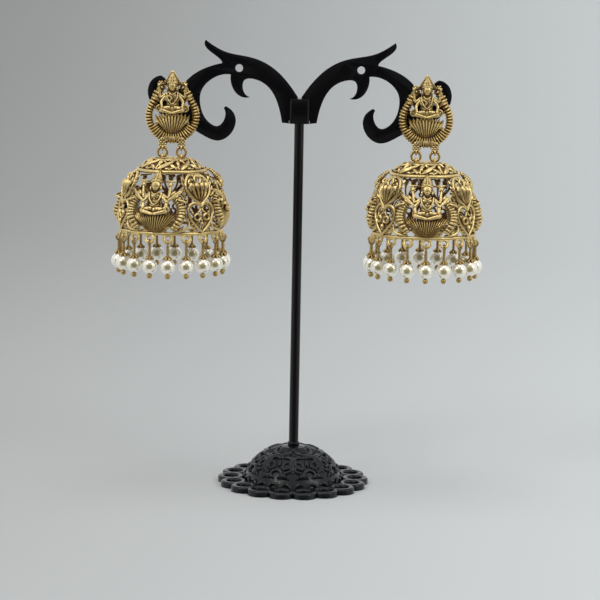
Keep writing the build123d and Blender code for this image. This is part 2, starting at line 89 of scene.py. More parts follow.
class Casting:
    """Forms laid on a curved sheet and cast as one: x across, y up, z out of it, in millimetres."""

    def __init__(self, lay):
        self.lay = lay
        self.points = []
        self.faces = []

    def add(self, points, faces):
        start = len(self.points)
        self.points += [self.lay(Vector(point)) * MM for point in points]
        self.faces += [[start + i for i in face] for face in faces]

    def sweep(self, path, sizes, section, steps=4, closed=False):
        """A section carried along a path; sizes has its width and height at each point."""
        line = smooth_path([(*point, *size) for point, size in zip(path, sizes)], steps, closed)
        count, sides = len(line), len(section)
        points = []
        for i, (x, y, z, wide, high) in enumerate(line):
            before = line[i - 1] if i or closed else line[i]
            after = line[(i + 1) % count] if i < count - 1 or closed else line[i]
            along = (Vector(after[:3]) - Vector(before[:3])).normalized()
            side = along.cross(Vector((0, 0, 1)))
            side = side.normalized() if side.length > 0.1 else Vector((1, 0, 0))
            up = side.cross(along)
            centre = Vector((x, y, z))
            points += [centre + side * (a * wide) + up * (b * high) for a, b in section]
        faces = []
        for i in range(count if closed else count - 1):
            here, there = i * sides, ((i + 1) % count) * sides
            for k in range(sides):
                n = (k + 1) % sides
                faces.append([here + k, here + n, there + n, there + k])
        if not closed:
            faces.append(list(range(sides))[::-1])
            faces.append([(count - 1) * sides + k for k in range(sides)])
        self.add(points, faces)

    def wire(self, path, radius, flat=1.0, steps=4, closed=False):
        """A round wire; radius is one number, or one for each point."""
        radii = radius if isinstance(radius, (list, tuple)) else [radius] * len(path)
        self.sweep(path, [(r, r * flat) for r in radii], ROUND, steps, closed)

    def leaf(self, path, width, height, root=0.35):
        """A ridged blade: widest in the middle, drawn to a point at its tip."""
        last = len(path) - 1
        sizes = []
        for i in range(last + 1):
            t = i / last
            swell = root + (1 - root) * sin(pi * min(1.0, t * 1.15 + 0.05)) if t < 0.9 else 0.08
            sizes.append((width * swell, height * max(0.25, swell)))
        self.sweep(path, sizes, BLADE, 3)

    def ring(self, at, radius, wire, flat=1.0, points=10, section=ROUND):
        x, y, z = at
        turns = [2 * pi * i / points for i in range(points)]
        path = [(x + radius * cos(turn), y + radius * sin(turn), z) for turn in turns]
        self.sweep(path, [(wire, wire * flat)] * points, section, 2, closed=True)

    def bead(self, at, size, sides=10, rows=6):
        """An ellipsoid."""
        x, y, z = at
        a, b, c = size if isinstance(size, (list, tuple)) else (size, size, size)
        points = [(x, y, z - c)]
        for row in range(1, rows):
            tilt = -pi / 2 + pi * row / rows
            for k in range(sides):
                turn = 2 * pi * k / sides
                aside, beyond = a * cos(tilt) * cos(turn), b * cos(tilt) * sin(turn)
                points.append((x + aside, y + beyond, z + c * sin(tilt)))
        points.append((x, y, z + c))
        top = len(points) - 1
        faces = []
        for k in range(sides):
            n = (k + 1) % sides
            faces.append([0, 1 + n, 1 + k])
            faces.append([top, 1 + (rows - 2) * sides + k, 1 + (rows - 2) * sides + n])
            for row in range(rows - 2):
                low, high = 1 + row * sides, 1 + (row + 1) * sides
                faces.append([low + k, low + n, high + n, high + k])
        self.add(points, faces)

    def beads_along(self, path, radius, count, steps=6):
        line = smooth_path(path, steps)
        for i in range(count):
            spot = line[round(i * (len(line) - 1) / max(1, count - 1))]
            self.bead(tuple(spot[:3]), radius, 6, 4)

    def rosette(self, at, radius, bead, start=0.0):
        """Six small beads set in a circle."""
        x, y, z = at
        for k in range(6):
            turn = 2 * pi * k / 6 + start
            self.bead((x + radius * cos(turn), y + radius * sin(turn), z), bead, 6, 4)

    def spiral(self, at, outer, inner, start, turns, wire, lift=0.0):
        """A wire coiled flat on the sheet, thinning towards its middle."""
        x, y, z = at
        count = max(6, round(abs(turns) * 9))
        path, radii = [], []
        for i in range(count + 1):
            t = i / count
            r = outer + (inner - outer) * t
            turn = start + 2 * pi * turns * t
            path.append((x + r * cos(turn), y + r * sin(turn), z + lift * t))
            radii.append(wire * (1 - 0.45 * t))
        self.wire(path, radii, 1.0, 2)

    def ribs_across(self, path, count, reach, foot, size):
        """Ribs laid across a path, whose z is their crest; reach is how far they go each way."""
        line = [Vector(point) for point in smooth_path(path, 6)]
        for i in range(count):
            t = i * (len(line) - 1) / (count - 1)
            k = min(int(t), len(line) - 2)
            here = line[k].lerp(line[k + 1], t - k)
            along = line[k + 1] - line[k]
            side = along.cross(Vector((0, 0, 1))).normalized()
            near, far = here + side * reach[0], here - side * reach[1]
            mid_near, mid_far = here + side * reach[0] * 0.45, here - side * reach[1] * 0.45
            spots = [(near.x, near.y, foot), tuple(mid_near), tuple(mid_far), (far.x, far.y, foot)]
            end = (0.7 * size[0], 0.6 * size[1])
            self.sweep(spots, [end, size, size, end], ROUND, 2)

    def slab(self, x_span, y_span, z_span, across=8, up=8):
        """A curved plate that follows the sheet."""
        points, faces = [], []
        for z in z_span:
            for j in range(up + 1):
                for i in range(across + 1):
                    x = x_span[0] + (x_span[1] - x_span[0]) * i / across
                    y = y_span[0] + (y_span[1] - y_span[0]) * j / up
                    points.append((x, y, z))
        row, layer = across + 1, (across + 1) * (up + 1)
        for j in range(up):
            for i in range(across):
                a = j * row + i
                faces.append([a, a + row, a + row + 1, a + 1])
                faces.append([layer + a, layer + a + 1, layer + a + row + 1, layer + a + row])
        for i in range(across):
            for a in (i, up * row + i):
                faces.append([a, a + 1, layer + a + 1, layer + a])
        for j in range(up):
            for a in (j * row, j * row + across):
                faces.append([a, a + row, layer + a + row, layer + a])
        self.add(points, faces)

    def turned(self, profile, sides=96):
        """A closed half section (radius, height) turned round the Z axis, past the sheet's own lay."""
        start, count = len(self.points), len(profile)
        for i in range(sides):
            turn = 2 * pi * i / sides
            self.points += [Vector((r * sin(turn), -r * cos(turn), z)) * MM for r, z in profile]
        for i in range(sides):
            here, there = start + i * count, start + (i + 1) % sides * count
            for k in range(count):
                n = (k + 1) % count
                self.faces.append([here + k, here + n, there + n, there + k])

    def mesh(self, name, sharp=48.0):
        data = bpy.data.meshes.new(name)
        data.from_pydata(self.points, [], self.faces)
        work = bmesh.new()
        work.from_mesh(data)
        bmesh.ops.dissolve_degenerate(work, dist=1e-7, edges=work.edges)
        bmesh.ops.recalc_face_normals(work, faces=work.faces)
        work.to_mesh(data)
        work.free()
        data.polygons.foreach_set("use_smooth", [True] * len(data.polygons))
        data.set_sharp_from_angle(angle=radians(sharp))
        return data


def mark_recesses(data, reach, rays=20, inside=0.0):
    """Stores how closed in each point is, from 0 in the open to 1 in a deep recess, as "recess".

    Of the rays that leave a point, those that meet the mesh soonest count most.  The finishes darken
    by it: painted shade in the recesses, together with the plated pieces' real antiquing.  What faces
    the Z axis, as a bell's inside does, gets up to inside more: painted shade on the inside.
    """
    tree = BVHTree.FromPolygons([v.co for v in data.vertices], [p.vertices for p in data.polygons])
    golden = pi * (3 - sqrt(5))
    fan = []
    for i in range(rays):
        up = 1 - (i + 0.5) / rays
        across = sqrt(1 - up * up)
        fan.append(Vector((across * cos(golden * i), across * sin(golden * i), up)))
    just_off = 0.06 * MM
    layer = data.attributes.new("recess", "FLOAT", "POINT")
    for vertex in data.vertices:
        normal = vertex.normal
        turn = normal.to_track_quat("Z", "Y")
        start = vertex.co + normal * just_off
        hits = 0.0
        for ray in fan:
            distance = tree.ray_cast(start, turn @ ray, reach)[3]
            if distance is not None:
                hits += 1 - 0.5 * distance / reach
        inward = -normal.dot(Vector((vertex.co.x, vertex.co.y, 0)).normalized()) if inside else 0.0
        layer.data[vertex.index].value = min(1.0, hits / rays * 1.25 + inside * max(0.0, inward))


def piece(name, data, material, body, slot, *nodes, place=None):
    """Puts a mesh in the scene as a piece that rides on a body and stands for CAD nodes."""
    if place is not None:
        data = data.copy()
        data.transform(place)
    made = bpy.data.objects.new(name, data)
    bpy.context.scene.collection.objects.link(made)
    if material.name not in [m.name for m in data.materials if m]:
        data.materials.append(material)
    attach(made, body)
    if nodes:
        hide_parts(*nodes)


def on_foot_dome(point):
    """x goes round the dome, y down its side from the top, z out from its surface, as low relief."""
    tilt = point.y / FOOT_BALL
    turn = point.x / max(2.0, FOOT_BALL * sin(tilt))
    reach = FOOT_BALL + FOOT_RELIEF * point.z
    centre = FOOT_HEIGHT - FOOT_BALL
    across = reach * sin(tilt)
    return Vector((across * sin(turn), -across * cos(turn), centre + reach * cos(tilt)))


def swung(lay, degrees):
    """The same sheet turned round the Z axis."""
    turn = Matrix.Rotation(radians(degrees), 3, "Z")
    return lambda point: turn @ lay(point)


def sided(s, points):
    """The points as they are on the right side (s is 1), or mirrored to the left (s is -1)."""
    return [(s * x, y, z) for x, y, z in points]


def cast_foot():
    foot = Casting(on_foot_dome)
    rim_tilt = asin(FOOT_SPAN / FOOT_BALL)
    centre = FOOT_HEIGHT - FOOT_BALL
    tilts = [rim_tilt * i / 24 for i in range(1, 25)]
    arc = [(FOOT_BALL * sin(tilt), centre + FOOT_BALL * cos(tilt)) for tilt in tilts]
    socket = [(SOCKET_RADIUS, 5.0), (SOCKET_RADIUS, FOOT_HEIGHT - 0.12)]
    foot.turned([*socket, *arc, (14.9, 0.5), (14.6, 0.0), (SOCKET_RADIUS, 0.0)])
    hook = [(0.3, 8.7, 0.1), (1.3, 8.3, 0.35), (3.4, 9.0, 0.4), (4.8, 11.4, 0.3), (4.7, 13.8, 0.1)]
    upper_arch = [(-1.8, 15.0, 0.1), (-1.4, 13.5, 0.4), (0, 12.8, 0.5), (1.4, 13.5, 0.4), (1.8, 15.0, 0.1)]
    lower_arch = [(-1.5, 18.4, 0.1), (-1.1, 17.3, 0.4), (0, 16.8, 0.45), (1.1, 17.3, 0.4), (1.5, 18.4, 0.1)]
    # eight repeats of coils, hooks, leaves and arches on the lower slope
    for i in range(8):
        foot.lay = swung(on_foot_dome, 45 * i + 22.5)
        for s in (-1, 1):
            foot.spiral((s * 2.35, 11.6, 0.1), 2.1, 0.5, pi / 2, s * -1.3, 0.62, 0.35)
            foot.wire(sided(s, hook), [0.35, 0.55, 0.6, 0.5, 0.3])
            foot.leaf(sided(s, [(0.6, 15.2, 0.1), (2.2, 14.7, 0.6), (4.2, 15.6, 0.1)]), 0.75, 0.6)
            foot.leaf(sided(s, [(4.9, 17.9, 0.1), (3.6, 17.0, 0.5), (2.2, 17.5, 0.1)]), 0.6, 0.5)
        foot.wire(upper_arch, 0.48)
        foot.wire(lower_arch, 0.42)
        foot.bead((0, 10.6, 0.2), (0.6, 1.2, 0.6))
        foot.bead((0, 8.2, 0.1), (0.6, 0.7, 0.5))
    # six ribbed lobes round the top, with small coils between them
    lobe = [(-2.4, 4.4), (-2.5, 6.0), (-1.3, 7.4), (0, 7.7), (1.3, 7.4), (2.5, 6.0), (2.4, 4.4)]
    for i in range(6):
        foot.lay = swung(on_foot_dome, 60 * i + 30)
        foot.wire([(x, y, 0.3) for x, y in lobe], [0.2, 0.5, 0.52, 0.5, 0.52, 0.5, 0.2])
        for k in range(5):
            half, y = 1.7 - 0.08 * k, 3.6 + 0.62 * k
            foot.wire([(-half, y, 0.0), (0, y + 0.22, 0.2), (half, y, 0.0)], 0.2)
        for s in (-1, 1):
            foot.spiral((s * 2.9, 7.2, 0.1), 0.85, 0.3, 0, s * 1.0, 0.34, 0.25)
    foot.lay = lambda point: point
    for i in range(LOOP_COUNT):
        turn = 2 * pi * i / LOOP_COUNT
        middle = (LOOP_RING * cos(turn), LOOP_RING * sin(turn), LOOP_WIRE)
        foot.ring(middle, LOOP_RADIUS, LOOP_WIRE, 1.0, 16, BAND)
    return foot.mesh("foot_casting")


def soft_step(nodes, start, end, low=0.0, high=1.0):
    """A node that goes smoothly from low to high while its value goes from start to end."""
    step = nodes.new("ShaderNodeMapRange")
    step.interpolation_type = "SMOOTHSTEP"
    for label, value in zip(("From Min", "From Max", "To Min", "To Max"), (start, end, low, high)):
        step.inputs[label].default_value = value
    return step


def recess_shade_and_patina_group():
    """Mask by recess: 1 where a point is open and proud, 0 down in the recesses; the finishes darken by it
    as painted shade.
    """
    group = bpy.data.node_groups.new("recess shade and patina", "ShaderNodeTree")
    sockets = group.interface
    inputs = {"Recess": 0.0, "Start": 0.2, "End": 0.6, "Mottle": 0.15, "Mottle Scale": 900.0}
    for label, value in inputs.items():
        sockets.new_socket(label, in_out="INPUT", socket_type="NodeSocketFloat").default_value = value
    sockets.new_socket("Openness", in_out="OUTPUT", socket_type="NodeSocketFloat")
    nodes, links = group.nodes, group.links
    given, result = nodes.new("NodeGroupInput"), nodes.new("NodeGroupOutput")
    where = nodes.new("ShaderNodeTexCoord")
    noise = nodes.new("ShaderNodeTexNoise")
    noise.inputs["Detail"].default_value = 4.0
    centred, scaled, total = (nodes.new("ShaderNodeMath") for _ in range(3))
    centred.operation, scaled.operation, total.operation = "SUBTRACT", "MULTIPLY", "ADD"
    centred.inputs[1].default_value = 0.5
    ramp = soft_step(nodes, 0.0, 1.0, 1.0, 0.0)
    links.new(where.outputs["Object"], noise.inputs["Vector"])
    links.new(given.outputs["Mottle Scale"], noise.inputs["Scale"])
    links.new(noise.outputs["Fac"], centred.inputs[0])
    links.new(centred.outputs[0], scaled.inputs[0])
    links.new(given.outputs["Mottle"], scaled.inputs[1])
    links.new(given.outputs["Recess"], total.inputs[0])
    links.new(scaled.outputs[0], total.inputs[1])
    links.new(total.outputs[0], ramp.inputs["Value"])
    links.new(given.outputs["Start"], ramp.inputs["From Min"])
    links.new(given.outputs["End"], ramp.inputs["From Max"])
    links.new(ramp.outputs["Result"], result.inputs["Openness"])
    return group


def grain_group():
    """Fine cast or painted grain: a height for a bump, and a value that roughness can vary by."""
    group = bpy.data.node_groups.new("surface grain", "ShaderNodeTree")
    sockets = group.interface
    for label, value in {"Scale": 2000.0, "Coarse Scale": 300.0}.items():
        sockets.new_socket(label, in_out="INPUT", socket_type="NodeSocketFloat").default_value = value
    for label in ("Height", "Variation"):
        sockets.new_socket(label, in_out="OUTPUT", socket_type="NodeSocketFloat")
    nodes, links = group.nodes, group.links
    given, result = nodes.new("NodeGroupInput"), nodes.new("NodeGroupOutput")
    where = nodes.new("ShaderNodeTexCoord")
    for label, target in (("Scale", "Height"), ("Coarse Scale", "Variation")):
        noise = nodes.new("ShaderNodeTexNoise")
        noise.inputs["Detail"].default_value = 3.0
        links.new(where.outputs["Object"], noise.inputs["Vector"])
        links.new(given.outputs[label], noise.inputs["Scale"])
        links.new(noise.outputs["Fac"], result.inputs[target])
    return group


recess_shade_and_patina = recess_shade_and_patina_group()
surface_grain = grain_group()


def finish_material(name, proud, deep, metal, rough, recess_ramp, grain, bump, specular=0.5):
    """A plated or painted finish: two colours by recess, the deep one painted shade (joined on plated
    pieces by their real antiquing), a range of roughness and a fine grain.
    """
    material = bpy.data.materials.new(name)
    material.use_nodes = True
    nodes, links = material.node_tree.nodes, material.node_tree.links
    shader = nodes["Principled BSDF"]
    shader.inputs["Specular IOR Level"].default_value = specular
    recess = nodes.new("ShaderNodeAttribute")
    recess.attribute_name = "recess"
    mask = nodes.new("ShaderNodeGroup")
    mask.node_tree = recess_shade_and_patina
    for label, value in zip(("Start", "End", "Mottle", "Mottle Scale"), recess_ramp):
        mask.inputs[label].default_value = value
    links.new(recess.outputs["Fac"], mask.inputs["Recess"])
    texture = nodes.new("ShaderNodeGroup")
    texture.node_tree = surface_grain
    texture.inputs["Scale"].default_value, texture.inputs["Coarse Scale"].default_value = grain
    # The deep colour goes in the recesses: painted shade, with the real antiquing on plated pieces.
    if proud == deep:
        shader.inputs["Base Color"].default_value = (*proud, 1)
    else:
        colour = nodes.new("ShaderNodeMix")  # its inputs 6 and 7 are the two colours
        colour.data_type = "RGBA"
        colour.inputs[6].default_value = (*deep, 1)
        colour.inputs[7].default_value = (*proud, 1)
        links.new(mask.outputs["Openness"], colour.inputs[0])
        links.new(colour.outputs[2], shader.inputs["Base Color"])
    if metal[0] == metal[1]:
        shader.inputs["Metallic"].default_value = metal[0]
    else:
        cover = nodes.new("ShaderNodeMapRange")
        cover.inputs["To Min"].default_value, cover.inputs["To Max"].default_value = metal
        links.new(mask.outputs["Openness"], cover.inputs["Value"])
        links.new(cover.outputs["Result"], shader.inputs["Metallic"])
    smooth = nodes.new("ShaderNodeMapRange")
    smooth.inputs["To Min"].default_value, smooth.inputs["To Max"].default_value = rough[:2]
    links.new(mask.outputs["Openness"], smooth.inputs["Value"])
    vary = nodes.new("ShaderNodeMath")
    vary.operation = "MULTIPLY_ADD"
    vary.inputs[1].default_value = rough[2]
    links.new(texture.outputs["Variation"], vary.inputs[0])
    links.new(smooth.outputs["Result"], vary.inputs[2])
    links.new(vary.outputs[0], shader.inputs["Roughness"])
    relief = nodes.new("ShaderNodeBump")
    relief.inputs["Strength"].default_value, relief.inputs["Distance"].default_value = bump
    links.new(texture.outputs["Height"], relief.inputs["Height"])
    links.new(relief.outputs["Normal"], shader.inputs["Normal"])
    return material


# The deep colour darkens the foot's recesses: painted shade.
cast_black = finish_material(
    "matt black casting",
    proud=(0.0032, 0.0050, 0.0058),
    deep=(0.0024, 0.0033, 0.0038),
    metal=(0.0, 0.0),
    rough=(0.30, 0.13, 0.14),
    recess_ramp=(0.15, 0.60, 0.2, 700.0),
    grain=(2600.0, 260.0),
    bump=(0.25, 0.0002),
    specular=0.29,
)
foot_mesh = cast_foot()
mark_recesses(foot_mesh, 1.8 * MM, 14)
piece("foot_casting", foot_mesh, cast_black, "root", "black_cast", "foot")

# ---------------------------------------------------------------- stem, hub and arms
# A steel rod carries a clamp of two cheeks, and two scroll arms cut from 2 mm plate.  They are
# dipped together in gloss black, which rounds every cut edge and pools a little unevenly.
gloss_black = finish_material(
    "gloss black paint",
    proud=(0.0020, 0.0020, 0.0026),
    deep=(0.0020, 0.0020, 0.0026),
    metal=(0.0, 0.0),
    rough=(0.13, 0.13, 0.12),
    recess_ramp=(0.5, 1.0, 0.1, 400.0),
    grain=(1500.0, 160.0),
    bump=(0.10, 0.00015),
    specular=0.28,
)


def dress_node(name, material, edge=0.0):
    """Gives a CAD node its finish, and rounds its cut edges where it has them."""
    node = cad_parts[name]
    node.data.materials.clear()
    node.data.materials.append(material)
    node.data.polygons.foreach_set("use_smooth", [True] * len(node.data.polygons))
    if edge:
        weld = node.modifiers.new("weld", "WELD")
        weld.merge_threshold = 0.005 * MM
        flatten = node.modifiers.new("flatten", "DECIMATE")
        flatten.decimate_type = "DISSOLVE"
        flatten.angle_limit = radians(1.0)
        round_off = node.modifiers.new("round_off", "BEVEL")
        round_off.width, round_off.segments = edge * MM, 3
        round_off.limit_method, round_off.angle_limit = "ANGLE", radians(40)
        round_off.harden_normals = True


dress_node("stem", gloss_black)
dress_node("hub", gloss_black, 0.22)
for side_name in ("left", "right"):
    dress_node(f"{side_name}_arm", gloss_black, 0.38)

# ---------------------------------------------------------------- studs
# Each stud is a brass casting, plated and antiqued: a ribbed pear-shaped frame round a crowned
# figure on a lotus.  Two granulated hangers and the ear post are soldered to it.
STUD_RADIUS = 7.45  # of the pear's round end
STUD_LOW = -2.65  # height of that end's middle, from the post
STUD_TURN = 118.0  # degrees that the round end goes up each side
STUD_TOP = (3.5, 6.3)
ROUND_SHARE, STRAIGHT_SHARE = 0.71, 0.29  # of the edge, from the foot to the top
RIBS = 46
HANGER_FALL = 11.28
HANGER_FRONT = 0.9
EYE_ACROSS = 2.6  # from the middle to each hanger, and to each eye on the bell
EYE_RADIUS, EYE_WIRE = 0.75, 0.28
POST_RADIUS, POST_LENGTH = 0.42, 11.0
# Darker and redder in the recesses: the real antiquing, and painted shade as well.
antique_gold = finish_material(
    "antique gold plate",
    proud=(0.70, 0.543, 0.232),
    deep=(0.160, 0.066, 0.022),
    metal=(0.55, 1.0),
    rough=(0.50, 0.26, 0.14),
    recess_ramp=(0.21, 0.68, 0.32, 1300.0),
    grain=(2400.0, 500.0),
    bump=(0.45, 0.00022),
)
# Darker in the recesses: antiquing, and painted shade as well.
plated_wire = finish_material(
    "plated wire",
    proud=(0.47, 0.325, 0.115),
    deep=(0.07, 0.035, 0.012),
    metal=(1.0, 1.0),
    rough=(0.32, 0.26, 0.12),
    recess_ramp=(0.2, 0.7, 0.2, 1500.0),
    grain=(2600.0, 900.0),
    bump=(0.12, 0.0001),
)


def seated_figure(work, base, grow, lift):
    """A crowned figure, two arms raised and two lowered, seated cross-legged; base is its hips' height."""

    def at(x, y, z):
        return (x * grow, base + y * grow, lift + z * grow)

    def size(*values):
        return [value * grow for value in values]

    def wire(spots, *radii, steps=4):
        """A wire through the figure's own spots, with one radius or one for each spot."""
        radii = size(*radii) * (len(spots) if len(radii) == 1 else 1)
        work.wire([at(*spot) for spot in spots], radii, 1.0, steps)

    # the crown's tiers and their bosses
    tiers = ((1.5, 5.75), (1.4, 6.12), (1.2, 6.48), (0.98, 6.82), (0.74, 7.14), (0.5, 7.44), (0.27, 7.72))
    for k, (wide, y) in enumerate(tiers):
        work.bead(at(0, y, 1.15 - 0.08 * k), size(wide, 0.33, 0.85 - 0.09 * k), 12, 5)
        work.bead(at(0, y + 0.05, 1.95 - 0.17 * k), size(0.28 - 0.02 * k, 0.26, 0.2), 6, 4)
    # hair, face, chin, nose, mouth and brow band
    work.bead(at(0, 4.6, 0.7), size(1.42, 1.5, 0.75), 12, 8)
    work.bead(at(0, 4.7, 1.25), size(1.1, 1.2, 0.95), 12, 8)
    work.bead(at(0, 3.95, 1.4), size(0.72, 0.68, 0.65), 10, 6)
    wire([(0, 5.1, 2.0), (0, 4.6, 2.28), (0, 4.42, 2.12)], 0.13, steps=2)
    wire([(-0.34, 4.0, 1.86), (0, 3.95, 1.98), (0.34, 4.0, 1.86)], 0.1, steps=2)
    wire([(-1.3, 5.35, 1.3), (0, 5.55, 2.05), (1.3, 5.35, 1.3)], 0.17, steps=3)
    # neck, chest, waist, lap, pendant, garland, collar and belt
    work.bead(at(0, 3.2, 0.6), size(0.55, 0.6, 0.5), 8, 4)
    work.bead(at(0, 2.1, 0.7), size(1.75, 0.95, 0.85), 12, 6)
    work.bead(at(0, 0.7, 0.6), size(1.1, 1.2, 0.75), 10, 6)
    work.bead(at(0, -1.5, 0.9), size(2.1, 1.15, 0.95), 12, 6)
    work.bead(at(0, 1.35, 1.6), 0.26 * grow, 6, 4)
    wire([(-1.5, 2.9, 1.2), (-1.15, 1.2, 1.65), (0, -0.1, 1.75), (1.15, 1.2, 1.65), (1.5, 2.9, 1.2)], 0.2)
    wire([(-0.9, 2.95, 1.25), (0, 2.35, 1.7), (0.9, 2.95, 1.25)], 0.18)
    wire([(-1.1, -0.1, 1.2), (0, -0.4, 1.6), (1.1, -0.1, 1.2)], 0.22)
    raised_arm = [(1.6, 2.5, 0.7), (3.1, 1.6, 0.8), (3.4, 3.1, 0.7), (3.5, 4.4, 0.7)]
    anklet = [(1.1, -1.0, 2.1), (2.2, -1.3, 2.5), (2.6, -2.0, 2.5)]
    # on each side: ear drop, eye, brow, raised arm and hand, armlet, lowered arm and hand, then the
    # folded leg with its knee, foot and anklet
    for s in (-1, 1):
        work.bead(at(s * 1.22, 3.95, 1.1), size(0.34, 0.55, 0.34), 8, 4)
        work.bead(at(s * 0.4, 4.85, 1.98), size(0.19, 0.11, 0.1), 6, 4)
        wire(sided(s, [(0.15, 5.0, 2.02), (0.42, 5.12, 1.98), (0.72, 4.98, 1.8)]), 0.07, steps=2)
        wire(sided(s, raised_arm), 0.5, 0.42, 0.36, 0.34)
        work.bead(at(s * 3.5, 4.8, 0.75), size(0.42, 0.5, 0.4), 8, 5)
        work.ring(at(s * 1.75, 2.05, 1.0), 0.5 * grow, 0.14 * grow, 1.0, 8)
        wire(sided(s, [(1.7, 2.0, 1.0), (2.8, 0.5, 1.4), (2.6, -0.8, 1.9)]), 0.45, 0.4, 0.3)
        work.bead(at(s * 2.6, -1.0, 2.0), size(0.42, 0.5, 0.36), 8, 5)
        wire(sided(s, [(0.6, -1.1, 1.4), (2.8, -1.6, 2.0), (0.1, -2.4, 2.5)]), 0.66, 0.6, 0.34)
        work.bead(at(s * 2.6, -1.75, 2.0), size(0.72, 0.62, 0.62), 10, 6)
        work.bead(at(s * 0.45, -2.35, 2.5), size(0.62, 0.36, 0.36), 8, 5)
        work.beads_along([at(*spot) for spot in sided(s, anklet)], 0.16 * grow, 4)


def lotus_cup(work, low, high, wide, petals, root_z, tip_z, plump):
    """Two rows of ridged petals that rise out of a narrow foot; plump is a petal's half width."""
    rise = high - low
    for count, behind, taller in ((petals - 1, 0.55, 0.12), (petals, 0.0, 0.0)):
        for i in range(count):
            t = 2 * i / (count - 1) - 1
            top = high - 0.16 * rise * t * t + taller * rise
            foot = low + 0.20 * rise * t * t
            lift = tip_z * (1 - 0.35 * t * t) - behind
            path = [
                (0.46 * wide * t, foot, root_z),
                (0.60 * wide * t, foot + 0.38 * (top - foot), root_z + 0.75 * (lift - root_z)),
                (0.84 * wide * t, foot + 0.74 * (top - foot), lift),
                (wide * t, top, lift - 0.1),
            ]
            widths = (0.40 * plump, 0.76 * plump, plump, 0.10 * plump)
            work.sweep(path, list(zip(widths, (0.15, 0.26, 0.32, 0.08))), BLADE, 3)


def pear_edge(run):
    """Point on the pear's edge and the way out from it; run goes from -1 by 0 at the foot to 1."""
    turn = radians(STUD_TURN) * min(1.0, abs(run) / ROUND_SHARE)
    side = 1 if run >= 0 else -1
    round_end = Vector((STUD_RADIUS * sin(turn), STUD_LOW - STUD_RADIUS * cos(turn), 0))
    out = Vector((sin(turn), -cos(turn), 0))
    rise = max(0.0, abs(run) - ROUND_SHARE) / STRAIGHT_SHARE
    spot = round_end.lerp(Vector((*STUD_TOP, 0)), rise)
    return Vector((side * spot.x, spot.y, 0)), Vector((side * out.x, out.y, 0))


